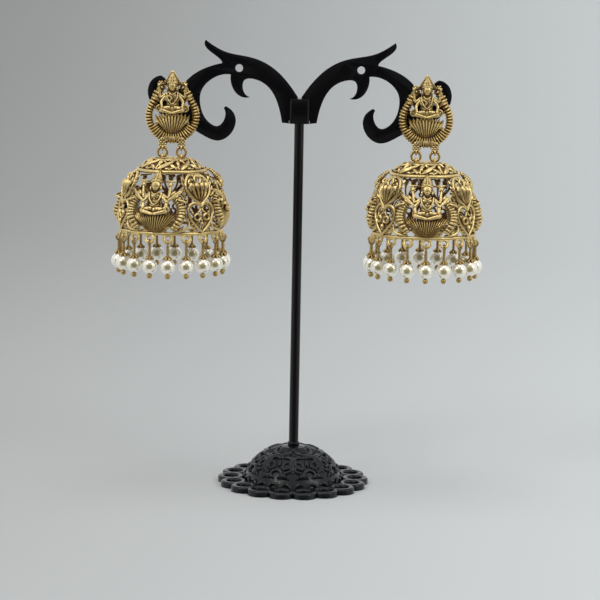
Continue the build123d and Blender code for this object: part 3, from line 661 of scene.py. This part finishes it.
def cast_stud(at):
    """One stud, whose post goes through the given point on the arm."""
    centre = Vector(at) / MM
    face = lambda p: Vector((centre.x + p.x, centre.y - p.z, centre.z + p.y))
    stud = Casting(face)
    # the pear's edge wire, with ribs across it
    edge = []
    for i in range(41):
        spot, out = pear_edge(i / 20 - 1)
        edge.append(spot - out * 1.0 + Vector((0, 0, 0.5)))
    stud.sweep([tuple(p) for p in edge], [(0.9, 0.3)] * len(edge), ROUND, 1)
    for i in range(RIBS):
        run = 0.97 * (2 * i / (RIBS - 1) - 1)
        spot, out = pear_edge(run)
        length = 3.2 if abs(run) < 0.37 else 1.95  # longer ribs round the foot
        inner, outer = spot - out * length, spot - out * 0.1
        middle = (inner + outer) / 2
        path = [(inner.x, inner.y, 0.55), (middle.x, middle.y, 1.3), (outer.x, outer.y, 0.45)]
        stud.sweep(path, [(0.20, 0.28), (0.29, 0.50), (0.33, 0.34)], ROUND, 3)
    # the ground, the figure, and the pointed canopy over it
    stud.slab((-1.6, 1.6), (-3.0, 6.6), (0.0, 0.7), 6, 8)
    stud.slab((-3.5, 3.5), (5.7, 6.6), (0.0, 0.65), 6, 2)
    stud.bead((0, -5.4, 0.3), (4.9, 3.2, 0.4), 20, 6)
    seated_figure(stud, 0.85, 1.05, 0.6)
    tiers = ((2.2, 6.8), (1.85, 7.35), (1.45, 7.9), (1.05, 8.45), (0.66, 8.95), (0.34, 9.45))
    for k, (wide, y) in enumerate(tiers):
        stud.bead((0, y, 0.85), (wide, 0.5, 0.85 - 0.1 * k), 12, 5)
        for s in (-1, 1):
            stud.bead((s * wide * 0.92, y, 1.0), 0.27, 6, 4)
            stud.bead((s * wide * 0.45, y + 0.1, 1.45 - 0.12 * k), 0.24, 6, 4)
    # two rings on the figure's front, the lotus, and the frill under it
    stud.ring((-1.0, 2.25, 2.2), 0.72, 0.26)
    stud.ring((1.25, 2.1, 1.9), 0.55, 0.2)
    lotus_cup(stud, -7.6, -2.0, 4.8, 11, 1.1, 2.4, 0.36)
    for i in range(11):
        x = 0.58 * (i - 5)
        frill = [(0.85 * x, -8.1, 1.3), (x, -8.9, 1.6), (1.1 * x, -9.85 + 0.05 * x * x, 1.0)]
        stud.wire(frill, [0.18, 0.26, 0.2], 1.0, 2)
    # on each side: rosette, stems, bezel and leaf, then a hanger of granules with its eye
    for s in (-1, 1):
        stud.bead((s * 3.25, 6.2, 1.0), (0.45, 0.45, 0.5), 8, 5)
        stud.rosette((s * 3.25, 6.2, 0.85), 0.6, 0.32)
        stud.wire(sided(s, [(5.4, 3.4, 1.2), (3.1, 0.9, 1.6)]), 0.26, 1.0, 1)
        stud.wire(sided(s, [(5.0, 4.2, 1.0), (3.3, 3.0, 1.3), (2.9, 1.7, 1.4)]), 0.26)
        stud.ring((s * 3.5, -0.5, 1.5), 0.85, 0.27)
        stud.bead((s * 3.5, -0.5, 1.3), (0.75, 0.75, 0.4), 8, 4)
        stud.leaf(sided(s, [(2.9, 1.1, 1.2), (3.0, -0.6, 1.7), (2.7, -1.9, 1.2)]), 0.5, 0.4)
        for row in range(6):
            for column in (-1.0, 0.0, 1.0) if row % 2 else (-0.5, 0.5):
                spot = (s * EYE_ACROSS + 0.86 * column, -8.8 - 0.5 * row)
                stud.bead((*spot, 1.35), 0.40, 8, 5)
                if row < 4:
                    stud.bead((*spot, 0.7), 0.40, 8, 5)
        x, y, z = centre.x + s * EYE_ACROSS, centre.y - HANGER_FRONT, centre.z - HANGER_FALL
        stud.lay = lambda p, x=x, y=y, z=z: Vector((x + p.z, y + p.x, z + p.y))
        stud.ring((0, 0, 0), EYE_RADIUS, EYE_WIRE, 1.0, 12)
        stud.lay = face
    post = [(0, 0, 0.4), (0, 0, 0.3 - POST_LENGTH), (0, 0, -POST_LENGTH)]
    stud.sweep(post, [(POST_RADIUS, POST_RADIUS), (POST_RADIUS, POST_RADIUS), (0.2, 0.2)], ROUND, 1)
    return stud.mesh("stud_casting")


for side_name in ("left", "right"):
    low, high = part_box(f"{side_name}_back_nut")
    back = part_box(f"{side_name}_arm")[0].y - 0.3 * MM
    stud_mesh = cast_stud(((low.x + high.x) / 2, back, (low.z + high.z) / 2))
    mark_recesses(stud_mesh, 1.1 * MM)
    piece(f"{side_name}_stud_casting", stud_mesh, antique_gold, "root", "antique_gold", f"{side_name}_stud")

# ---------------------------------------------------------------- back nuts and jump rings
# Plain turned brass nuts are pushed on the posts behind the arms.  Two closed rings of plated wire
# join each stud to its bell: they go through the stud's hangers and the bell's eyes.
for side_name in ("left", "right"):
    dress_node(f"{side_name}_back_nut", plated_wire, 0.12)
    for ring_name in ("a", "b"):
        dress_node(f"{side_name}_ring_{ring_name}", plated_wire)

# ---------------------------------------------------------------- bells
# Each bell is one brass casting, plated and antiqued: three seated figures and four heart panels
# round an open wall, a leafy cap over them, and a rim wire and a band wire soldered on.
RIM_RADIUS = 13.75
BAND_RADIUS = 9.1
BAND_RISE = 16.0
CAP_RISE = 19.2
CAP_EDGE = 5.0
CAP_RUN = 5.3  # how far the cap's slope goes before its flat top
RIM_HEIGHT = 0.0722  # over the floor, in metres
FIGURE_TURNS = (0.0, 107.0, 253.0)
HEART_TURNS = (53.5, 160.5, 199.5, 306.5)
LEFT_BELL_TURN = -15.0
DROPS = 18
DROP_TOP = (13.9, -0.45)
DROP_FOOT = (14.584, -2.33)
DROP_RING, DROP_WIRE = 1.05, 0.38
EYE_RISE = 19.88


def on_wall(point):
    """x goes round the wall, y is the height over the rim, z stands out from the wall."""
    depth = RIM_RADIUS - BAND_RADIUS
    radius = BAND_RADIUS + depth * sqrt(max(0.0, 1 - (point.y / BAND_RISE) ** 2))
    slope = atan2(point.y / BAND_RISE**2, (radius - BAND_RADIUS) / depth**2)
    turn, reach = point.x / radius, radius + point.z * cos(slope)
    return Vector((reach * sin(turn), -reach * cos(turn), point.y + point.z * sin(slope)))


def on_cap(point):
    """x goes round the cap, y runs in from the band and z stands out; y past CAP_RUN is the flat top."""
    t = max(0.0, min(1.0, point.y / CAP_RUN))
    foot = BAND_RISE + 0.4
    middle = ((BAND_RADIUS + CAP_EDGE) / 2, (foot + CAP_RISE) / 2 + 0.3)
    radius = (1 - t) ** 2 * BAND_RADIUS + 2 * t * (1 - t) * middle[0] + t * t * CAP_EDGE
    height = (1 - t) ** 2 * foot + 2 * t * (1 - t) * middle[1] + t * t * CAP_RISE
    run = 2 * (1 - t) * (middle[0] - BAND_RADIUS) + 2 * t * (CAP_EDGE - middle[0])
    rise = 2 * (1 - t) * (middle[1] - foot) + 2 * t * (CAP_RISE - middle[1])
    out = Vector((rise, 0, -run)).normalized()
    flat = max(0.3, radius - max(0.0, point.y - CAP_RUN))
    turn, reach = point.x / max(1.2, flat), flat + point.z * out.x
    return Vector((reach * sin(turn), -reach * cos(turn), height + point.z * out.z))


def figure_panel(work):
    """The seated figure on its lotus, in the two arms of a ribbed horseshoe."""
    work.slab((-1.4, 1.4), (4.8, 10.4), (-0.6, 0.4), 4, 8)
    work.slab((-3.2, 3.2), (0.1, 3.4), (-0.6, 0.3), 8, 6)
    seated_figure(work, 7.8, 1.04, 0.1)
    lotus_cup(work, 0.5, 5.6, 5.5, 17, 0.7, 2.2, 0.25)
    work.slab((-2.0, 2.0), (3.3, 6.8), (-0.3, 0.3), 4, 4)
    work.bead((0, 2.5, 0.0), (4.3, 2.2, 1.0), 18, 8)
    for k in range(9):
        x = -2.0 + 0.5 * k
        work.bead((x, 5.35 + 0.05 * abs(x), 2.15 - 0.12 * abs(x)), 0.24, 6, 4)
    for s in (-1, 1):
        work.wire(sided(s, [(1.3, 13.75, 0.5), (4.9, 13.95, 0.3)]), 0.22, 1.0, 1)
        work.bead((s * 3.6, 12.9, 0.8), (0.6, 0.6, 0.5), 10, 6)
        work.rosette((s * 3.6, 12.9, 0.95), 0.6, 0.24, 0.4)
        for k, shift in enumerate((-0.45, 0.0, 0.45)):
            strand = [(7.0 + 0.3 * k, 11.9 + shift, 0.7), (5.0, 10.1 + 0.7 * shift, 1.4), (3.0, 8.6, 1.7)]
            work.wire(sided(s, strand), [0.16, 0.19, 0.24], 1.0, 3)
        work.bead((s * 3.0, 8.5, 1.7), (0.5, 0.5, 0.45), 8, 5)
        work.leaf(sided(s, [(3.2, 5.6, 0.8), (3.3, 6.9, 1.3), (2.7, 8.2, 1.2)]), 0.42, 0.36)
        work.wire(sided(s, [(1.9, 5.9, 1.2), (2.5, 6.7, 1.8), (3.3, 7.3, 2.1)]), [0.45, 0.45, 0.3])
        horseshoe = [(4.3, 10.6, 0.9), (5.9, 9.0, 1.2), (6.9, 6.7, 1.7), (6.6, 4.2, 2.3), (5.2, 1.6, 1.2)]
        path = sided(s, horseshoe)
        work.sweep([(x, y, z - 0.75) for x, y, z in path], [(1.0, 0.75)] * 5, ROUND)
        work.ribs_across(path, 14, (1.12, 1.12), 0.15, (0.36, 0.36))
        work.wire(sided(s, [(5.4, 9.3, 0.6), (6.2, 8.9, 2.0), (7.3, 8.4, 2.4), (7.9, 8.1, 0.8)]), 0.27)
        scroll = [(5.0, 0.7, 0.3), (6.9, 0.8, 0.6), (8.7, 1.5, 0.6), (9.2, 3.0, 0.4), (8.3, 3.9, 0.4)]
        work.wire(sided(s, scroll), [0.3, 0.4, 0.38, 0.3, 0.24])
        work.leaf(sided(s, [(5.6, 1.3, 0.3), (6.9, 1.45, 0.7), (7.9, 2.3, 0.4)]), 0.4, 0.35)


def heart_panel(work, backed):
    """A bud in an oval over an open heart with two bezels; if backed, with a ground and more leaves."""
    right = [(0, 7.9, 0.7), (1.5, 8.9, 0.8), (3.2, 10.7, 0.8), (3.7, 12.6, 0.7)]
    right += [(2.9, 14.4, 0.45), (1.3, 15.5, 0.15)]
    oval = right + sided(-1, right[:0:-1])
    work.wire(oval, 0.36, 1.15, 3, closed=True)
    inner_oval = [(0.84 * x, 11.7 + 0.84 * (y - 11.7), 0.6 * z) for x, y, z in oval]
    work.wire(inner_oval, 0.16, 1.0, 3, closed=True)
    if backed:
        work.bead((0, 10.9, -0.2), (2.5, 2.6, 0.7), 16, 8)
    petal = [(0.3, 8.8, 0.3), (0.9, 10.1, 0.9), (1.15, 11.4, 1.1), (1.4, 12.6, 1.3), (1.75, 13.4, 0.7)]
    petal_sizes = [(0.2, 0.25), (0.28, 0.5), (0.34, 0.55), (0.80, 0.6), (0.2, 0.2)]
    for fan in (-1.5, -0.5, 0.5, 1.5) if backed else (-1.5, 0, 1.5):
        work.sweep([(x * fan, y, z) for x, y, z in petal], petal_sizes, BLADE, 4)
    work.ring((0, 14.1, 0.8), 0.88, 0.30, 1.4, 12)
    for k in range(7):
        turn = 2 * pi * (k + 0.5) / 7
        work.bead((1.42 * cos(turn), 14.1 + 1.2 * sin(turn), 0.6), (0.34, 0.3, 0.32), 7, 4)
    for s in (-1, 1):
        work.leaf(sided(s, [(1.3, 14.2, 0.4), (2.4, 13.9, 0.8), (3.0, 12.6, 0.4)]), 0.4, 0.32)
        work.bead((s * 2.4, 11.6, 0.6), (0.36, 0.6, 0.4), 7, 5)
    lobe = [(0, 7.2), (0.8, 8.0), (2.1, 8.3), (3.4, 7.5), (3.95, 5.9), (3.2, 4.0), (1.7, 2.0), (0, 0.5)]
    for s in (-1, 1):
        work.wire([(s * x, y, 0.8) for x, y in lobe], 0.36, 1.2, 3)
        work.wire([(s * 0.86 * x, 4.8 + 0.86 * (y - 4.8), 0.4) for x, y in lobe[1:-1]], 0.17, 1.0, 3)
        for inset in (0.0, 0.45, 0.9):
            vein = [(2.75 - inset, 4.3, 0.35), (2.0 - inset, 3.0, 0.5), (0.5, 1.4, 0.35)]
            work.wire(sided(s, vein), 0.22, 1.0, 3)
        work.ring((s * 1.36, 4.5, 0.9), 0.84, 0.32, 1.9, 14)
        work.bead((s * 2.6, 5.6, 0.5), (0.36, 0.6, 0.4), 7, 5)
        work.wire(sided(s, [(0.15, 6.9, 0.5), (0.5, 6.1, 0.7), (1.2, 5.6, 0.8)]), 0.26, 1.0, 3)
        for k in range(6 if backed else 2):
            y = 1.1 + 0.8 * k
            edge = 1.0 + 0.56 * k
            blade = [(edge + 0.35, y, 0.2), (edge + 1.1, y + 0.7, 0.7), (edge + 2.1, y + 0.9, 0.2)]
            work.leaf(sided(s, blade), 0.28, 0.26)
        curl = [(1.1, 0.7, 0.3), (3.1, 2.3, 0.4), (4.7, 5.0, 0.4), (4.9, 7.4, 0.3), (3.8, 9.1, 0.3)]
        work.wire(sided(s, curl), 0.22)
        work.spiral((s * 4.3, 9.0, 0.5), 0.8, 0.3, pi / 2, s * -1.1, 0.26, 0.3)
        work.bead((s * 4.6, 10.6, 0.4), (0.5, 0.6, 0.45), 8, 5)
        for k in range(4):
            y = 10.4 + 1.25 * k
            blade = [(3.9 - 0.15 * k, y - 0.6, 0.3), (4.6 - 0.2 * k, y, 0.9), (5.1 - 0.3 * k, y + 0.9, 0.6)]
            work.leaf(sided(s, blade), 0.42, 0.36)
    work.leaf([(0, 3.4, 0.5), (0, 2.4, 1.1), (0, 0.9, 0.5)], 0.7, 0.55)
    work.bead((0, 3.6, 0.6), (0.4, 0.5, 0.45), 7, 5)


def cap_leaves(work):
    """One repeat of the cap: long blades that cross, a vein and a bud."""
    work.leaf([(-2.9, 0.7, 0.1), (-1.2, 2.0, 0.45), (0.8, 3.7, 0.45), (1.9, 5.8, 0.1)], 0.68, 0.42)
    work.leaf([(2.7, 0.8, 0.0), (1.5, 2.0, 0.35), (0.4, 2.7, 0.35)], 0.5, 0.36)
    work.leaf([(3.2, 2.2, 0.0), (2.5, 3.8, 0.35), (2.6, 5.5, 0.0)], 0.5, 0.36)
    work.leaf([(-0.4, 3.6, 0.2), (-1.2, 4.6, 0.4), (-1.2, 6.2, 0.0)], 0.42, 0.32)
    work.wire([(-3.3, 0.7, 0.0), (-2.9, 2.5, 0.15), (-1.9, 3.9, 0.15), (-0.6, 5.6, 0.0)], 0.24)
    work.wire([(0.2, 0.7, 0.0), (1.9, 1.5, 0.15), (3.4, 1.3, 0.0)], 0.24)
    work.bead((-0.1, 1.1, 0.1), (0.75, 0.45, 0.35), 8, 5)


def on_top(point):
    """The flat top of the cap, seen from above."""
    return Vector((point.x, point.y, CAP_RISE + point.z))


def cast_bell():
    bell = Casting(on_wall)
    for turn in FIGURE_TURNS:
        bell.lay = swung(on_wall, turn)
        figure_panel(bell)
    for turn in HEART_TURNS:
        bell.lay = swung(on_wall, turn)
        heart_panel(bell, backed=turn < 100 or turn > 260)
    for turn in (88.0, 272.0):
        bell.lay = swung(on_wall, turn)
        bell.ring((0, 7.9, 1.3), 0.8, 0.22, 4.6, 12)
    for i in range(8):
        bell.lay = swung(on_cap, 45 * i + 10)
        cap_leaves(bell)
    outer_wall = [(9.05, 16.0), (8.9, 16.55), (7.2, 17.5), (5.2, 18.75), (3.0, 18.95)]
    inner_wall = [(3.0, 18.55), (5.0, 18.3), (8.4, 16.2)]
    bell.turned(outer_wall + inner_wall)
    for k in range(7):
        bell.lay = swung(on_top, 360 / 7 * k)
        bell.leaf([(0, -0.8, 0.1), (0, -2.4, 0.35), (0, -4.6, 0.0)], 1.15, 0.35)
    bell.lay = on_top
    bell.bead((0, 0, 0.1), (1.2, 1.2, 0.6), 12, 6)
    rim = (RIM_RADIUS + 0.15, 0.0, 0.5)
    band = (BAND_RADIUS + 0.25, BAND_RISE + 0.35, 0.5)
    turns = [2 * pi * k / 10 for k in range(10)]
    for radius, height, wire in (rim, band, (CAP_EDGE, CAP_RISE, 0.35)):
        bell.turned([(radius + wire * cos(turn), height + wire * sin(turn)) for turn in turns])
    return bell.mesh("bell_casting")


def solder_eyes_and_rings():
    """The two eyes on the cap, and the ring under the rim that each drop hangs from."""
    work = Casting(lambda p: p)
    for s in (-1, 1):
        work.lay = lambda p, s=s: Vector((s * EYE_ACROSS + p.z, p.x, EYE_RISE + p.y))
        work.ring((0, 0, 0), EYE_RADIUS, EYE_WIRE, 1.0, 14)
        work.lay = lambda p, s=s: Vector((s * EYE_ACROSS + p.x, p.y, CAP_RISE + p.z))
        work.bead((0, 0, -0.1), (0.7, 0.9, 0.35), 10, 5)
    top, foot = Vector((0, -DROP_TOP[0], DROP_TOP[1])), Vector((0, -DROP_FOOT[0], DROP_FOOT[1]))
    middle, down = (top + foot) / 2, (foot - top).normalized()
    out = down.cross(Vector((1, 0, 0)))
    flat = lambda p: middle + Vector((p.x, 0, 0)) - down * p.y + out * p.z
    for i in range(DROPS):
        work.lay = swung(flat, 360 / DROPS * i)
        work.ring((0, 0, 0), DROP_RING, DROP_WIRE, 1.0, 14)
        work.ring((0, 0, 0.12), 1.36, 0.2, 1.0, 14)
        for s in (-1, 1):
            work.bead((s * 1.1, 0.8, 0.15), 0.36, 7, 5)
    return work.mesh("eyes_and_rings")


def bell_axis(side_name):
    """The middle of a bell's rim: under its stud's post, and under its jump rings."""
    nut_low, nut_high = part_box(f"{side_name}_back_nut")
    ring_low, ring_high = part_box(f"{side_name}_ring_a")
    return Vector(((nut_low.x + nut_high.x) / 2, (ring_low.y + ring_high.y) / 2, RIM_HEIGHT))


bell_mesh = cast_bell()
# The bell's inside faces get more of the deep colour: painted shade.
mark_recesses(bell_mesh, 1.5 * MM, inside=0.6)
ring_mesh = solder_eyes_and_rings()
mark_recesses(ring_mesh, 1.0 * MM, 12)
for side_name in ("left", "right"):
    node, body = f"{side_name}_bell", f"{side_name}_bell_body"
    upright = Matrix.Translation(bell_axis(side_name))
    turned = upright @ Matrix.Rotation(radians(LEFT_BELL_TURN if side_name == "left" else 0.0), 4, "Z")
    piece(f"{side_name}_bell_casting", bell_mesh, antique_gold, body, "antique_gold", node, place=turned)
    piece(f"{side_name}_drop_rings", ring_mesh, antique_gold, body, "antique_gold", node, place=upright)

# ---------------------------------------------------------------- drops
# Eighteen drops hang under each rim.  Each is a head pin of plated wire, looped through a drop ring
# and wound below its loop, which holds a petal cap and a drilled glass bead with a pearl coat.
PIN_LOOP_RISE = -2.41
PIN_LOOP, PIN_WIRE = 0.75, 0.22
PIN_TURNS = 7
END_BALL = 0.74
PEARL_RISE = -8.9
PEARL_RADIUS = 2.1


def head_pins():
    """All the pins of a bell, each through its pearl."""
    work = Casting(lambda p: p)
    low, seat = PEARL_RISE - PEARL_RADIUS, PEARL_RISE + PEARL_RADIUS
    for i in range(DROPS):
        place = swung(lambda p: Vector((p.x, p.y - DROP_FOOT[0], p.z)), 360 / DROPS * i)
        work.lay = lambda p, place=place: place(Vector((p.z, p.x, PIN_LOOP_RISE + p.y)))
        work.ring((0, 0, 0), PIN_LOOP, PIN_WIRE, 1.0, 14)
        work.lay = place
        work.sweep([(0, 0, low - 0.4), (0, 0, PIN_LOOP_RISE - 0.8)], [(PIN_WIRE, PIN_WIRE)] * 2, ROUND, 1)
        for k in range(PIN_TURNS):
            height = PIN_LOOP_RISE - 1.02 - 0.4 * k
            work.ring((0, 0, height), 0.25, 0.19, 1.0, 8)
        work.bead((0, 0, seat + 0.55), (0.62, 0.62, 0.4), 10, 6)
        for k in range(6):
            turn = 2 * pi * k / 6
            petal = ((0.2, seat + 0.5), (0.72, seat + 0.26), (1.2, seat - 0.16))
            path = [(reach * cos(turn), reach * sin(turn), height) for reach, height in petal]
            work.wire(path, [0.22, 0.34, 0.24], 1.0, 2)
        work.bead((0, 0, low - 0.62), END_BALL, 14, 8)
    return work.mesh("head_pins")


def pearl_coat():
    """Cream nacre under a clear coat, a little green at its edge; the deeper gold where it faces the eye is
    a painted reflection of the room's dim front.
    """
    material = bpy.data.materials.new("pearl coat")
    material.use_nodes = True
    nodes, links = material.node_tree.nodes, material.node_tree.links
    shader = nodes["Principled BSDF"]
    shader.inputs["Roughness"].default_value = 0.20
    shader.inputs["Specular IOR Level"].default_value = 0.7
    shader.inputs["Coat Roughness"].default_value = 0.06
    shader.inputs["Coat IOR"].default_value = 1.55
    shader.inputs["Coat Weight"].default_value = 0.6
    shader.inputs["Metallic"].default_value = 0.5
    edge = nodes.new("ShaderNodeLayerWeight")
    edge.inputs["Blend"].default_value = 0.45
    nacre_and_reflection = nodes.new("ShaderNodeValToRGB")
    ramp = nacre_and_reflection.color_ramp
    # The dark olive where the pearl faces the eye is a painted reflection.
    ramp.elements[0].position, ramp.elements[0].color = 0.035, (0.50, 0.43, 0.21, 1)
    ramp.elements[1].position, ramp.elements[1].color = 1.0, (0.86, 0.89, 0.58, 1)
    middle = ramp.elements.new(0.13)
    middle.color = (1.0, 0.96, 0.84, 1)
    outer = ramp.elements.new(0.6)
    outer.color = (0.99, 0.97, 0.82, 1)
    links.new(edge.outputs["Facing"], nacre_and_reflection.inputs["Fac"])
    where = nodes.new("ShaderNodeTexCoord")
    cloud = nodes.new("ShaderNodeTexNoise")
    cloud.inputs["Scale"].default_value = 420.0
    cloud.inputs["Detail"].default_value = 3.0
    links.new(where.outputs["Object"], cloud.inputs["Vector"])
    tint = nodes.new("ShaderNodeMix")
    tint.data_type, tint.blend_type = "RGBA", "MULTIPLY"
    tint.inputs[0].default_value = 0.12
    links.new(nacre_and_reflection.outputs["Color"], tint.inputs[6])
    links.new(cloud.outputs["Color"], tint.inputs[7])
    links.new(tint.outputs[2], shader.inputs["Base Color"])
    relief = nodes.new("ShaderNodeBump")
    relief.inputs["Strength"].default_value = 0.06
    relief.inputs["Distance"].default_value = 0.0001
    links.new(cloud.outputs["Fac"], relief.inputs["Height"])
    links.new(relief.outputs["Normal"], shader.inputs["Normal"])
    return material


pin_mesh = head_pins()
mark_recesses(pin_mesh, 0.6 * MM, 10)
pearl = pearl_coat()
for side_name in ("left", "right"):
    node, body = f"{side_name}_pins", f"{side_name}_bell_body"
    upright = Matrix.Translation(bell_axis(side_name))
    piece(f"{side_name}_head_pins", pin_mesh, plated_wire, body, "gold_wire", node, place=upright)
    for i in range(DROPS):
        dress_node(f"{side_name}_pearl_{i + 1:02d}", pearl)

# ---------------------------------------------------------------- floor, light and camera
# A sheet of grey paper runs back and bends up; its colour is painted shade, dark at the left and pale
# at the right.  Soft lights stand at both sides and above.  The room has a dim window low at its front,
# which the shiny pieces mirror and the camera doesn't see.
PAPER_SIDE = 30.0  # metres, as are the next ones
BEND_START, BEND_RADIUS = 0.5, 0.9
PAPER_TOP = 4.0
PLAIN_ROOM = 0.50  # how bright the empty room looks
LIGHT_AIM = Vector((0, 0, 0.08))
CAMERA_PLACE = (0.0011, -0.560, 0.138)
CAMERA_DOWN, CAMERA_ROLL = 8.70, 1.05  # degrees
backdrop_finish = bpy.data.materials.new("backdrop paper")
backdrop_finish.use_nodes = True
nodes, links = backdrop_finish.node_tree.nodes, backdrop_finish.node_tree.links
where = nodes.new("ShaderNodeTexCoord")
split = nodes.new("ShaderNodeSeparateXYZ")
# The paper's colour goes from dark at the left to pale at the right: painted shade.
shade = soft_step(nodes, -0.35, 0.40)
painted_paper_shade = nodes.new("ShaderNodeMix")
painted_paper_shade.data_type = "RGBA"
painted_paper_shade.inputs[6].default_value = (0.340, 0.338, 0.330, 1)
painted_paper_shade.inputs[7].default_value = (0.770, 0.805, 0.800, 1)
links.new(where.outputs["Object"], split.inputs[0])
links.new(split.outputs["X"], shade.inputs["Value"])
links.new(shade.outputs["Result"], painted_paper_shade.inputs[0])
links.new(painted_paper_shade.outputs[2], nodes["Principled BSDF"].inputs["Base Color"])
nodes["Principled BSDF"].inputs["Roughness"].default_value = 0.7
turns = [radians(6 * k) for k in range(16)]
bend = [(BEND_START + BEND_RADIUS * sin(turn), BEND_RADIUS - BEND_RADIUS * cos(turn)) for turn in turns]
profile = [(-PAPER_SIDE, 0.0), *bend, (BEND_START + BEND_RADIUS, PAPER_TOP)]
data = bpy.data.meshes.new("backdrop")
data.from_pydata(
    [(x, y, z) for y, z in profile for x in (-PAPER_SIDE, PAPER_SIDE)],
    [],
    [(2 * k, 2 * k + 1, 2 * k + 3, 2 * k + 2) for k in range(len(profile) - 1)],
)
data.polygons.foreach_set("use_smooth", [True] * len(data.polygons))
data.materials.append(backdrop_finish)
backdrop = bpy.data.objects.new("backdrop", data)
backdrop.visible_glossy = False
bpy.context.scene.collection.objects.link(backdrop)

world = bpy.data.worlds.new("studio")
bpy.context.scene.world = world
world.use_nodes = True
nodes, links = world.node_tree.nodes, world.node_tree.links
background = nodes["Background"]
where = nodes.new("ShaderNodeTexCoord")
split = nodes.new("ShaderNodeSeparateXYZ")
links.new(where.outputs["Generated"], split.inputs[0])


def world_math(operation, first, second=None, value=0.0):
    node = nodes.new("ShaderNodeMath")
    node.operation = operation
    links.new(first, node.inputs[0])
    node.inputs[1].default_value = value
    if second is not None:
        links.new(second, node.inputs[1])
    return node.outputs[0]


def dim_window(half_width, half_height, low, level):
    """A soft-edged rectangle at the front of the room, low under the horizon, only level bright."""
    aside = world_math("DIVIDE", world_math("ABSOLUTE", split.outputs["X"]), value=half_width)
    height = world_math("ABSOLUTE", world_math("ADD", split.outputs["Z"], value=low))
    upward = world_math("DIVIDE", height, value=half_height)
    behind = world_math("MULTIPLY", world_math("ADD", split.outputs["Y"], value=0.5), value=3.0)
    window = soft_step(nodes, 0.80, 1.00, level)
    outside = world_math("MAXIMUM", world_math("MAXIMUM", aside, upward), behind)
    links.new(outside, window.inputs["Value"])
    return window.outputs["Result"]


bright_above = soft_step(nodes, -0.6, 0.6, 0.72, 0.93)
links.new(split.outputs["Z"], bright_above.inputs["Value"])
wide_window = dim_window(half_width=0.80, half_height=0.60, low=0.12, level=0.36)
small_window = dim_window(half_width=0.26, half_height=0.20, low=0.05, level=0.22)
dim_front = world_math("MULTIPLY", wide_window, small_window)
seen = nodes.new("ShaderNodeLightPath")
plain = nodes.new("ShaderNodeMix")  # its inputs 2 and 3 are the two values
plain.inputs[3].default_value = PLAIN_ROOM
links.new(seen.outputs["Is Camera Ray"], plain.inputs[0])
links.new(world_math("MULTIPLY", dim_front, bright_above.outputs["Result"]), plain.inputs[2])
links.new(plain.outputs[0], background.inputs["Strength"])
background.inputs["Color"].default_value = (0.97, 0.98, 1.0, 1)

for name, place, size, power in (
    ("key", (-0.45, -0.45, 0.60), 0.22, 1.1),
    ("fill", (0.55, -0.35, 0.45), 0.26, 0.9),
    ("top", (0.0, -0.05, 0.80), 0.50, 1.1),
):
    lamp = bpy.data.lights.new(name, "AREA")
    lamp.shape, lamp.size, lamp.energy = "SQUARE", size, power
    light = bpy.data.objects.new(name, lamp)
    light.location = place
    light.rotation_euler = (LIGHT_AIM - Vector(place)).to_track_quat("-Z", "Y").to_euler()
    bpy.context.scene.collection.objects.link(light)

lens = bpy.data.cameras.new("camera")
lens.lens, lens.sensor_width = 121.2, 36.0
lens.clip_start = 0.01
camera = bpy.data.objects.new("camera", lens)
tilt = Matrix.Rotation(radians(90 - CAMERA_DOWN), 4, "X") @ Matrix.Rotation(radians(CAMERA_ROLL), 4, "Z")
camera.matrix_world = Matrix.Translation(CAMERA_PLACE) @ tilt
bpy.context.scene.collection.objects.link(camera)
bpy.context.scene.camera = camera
bpy.context.scene.view_settings.view_transform = "Standard"
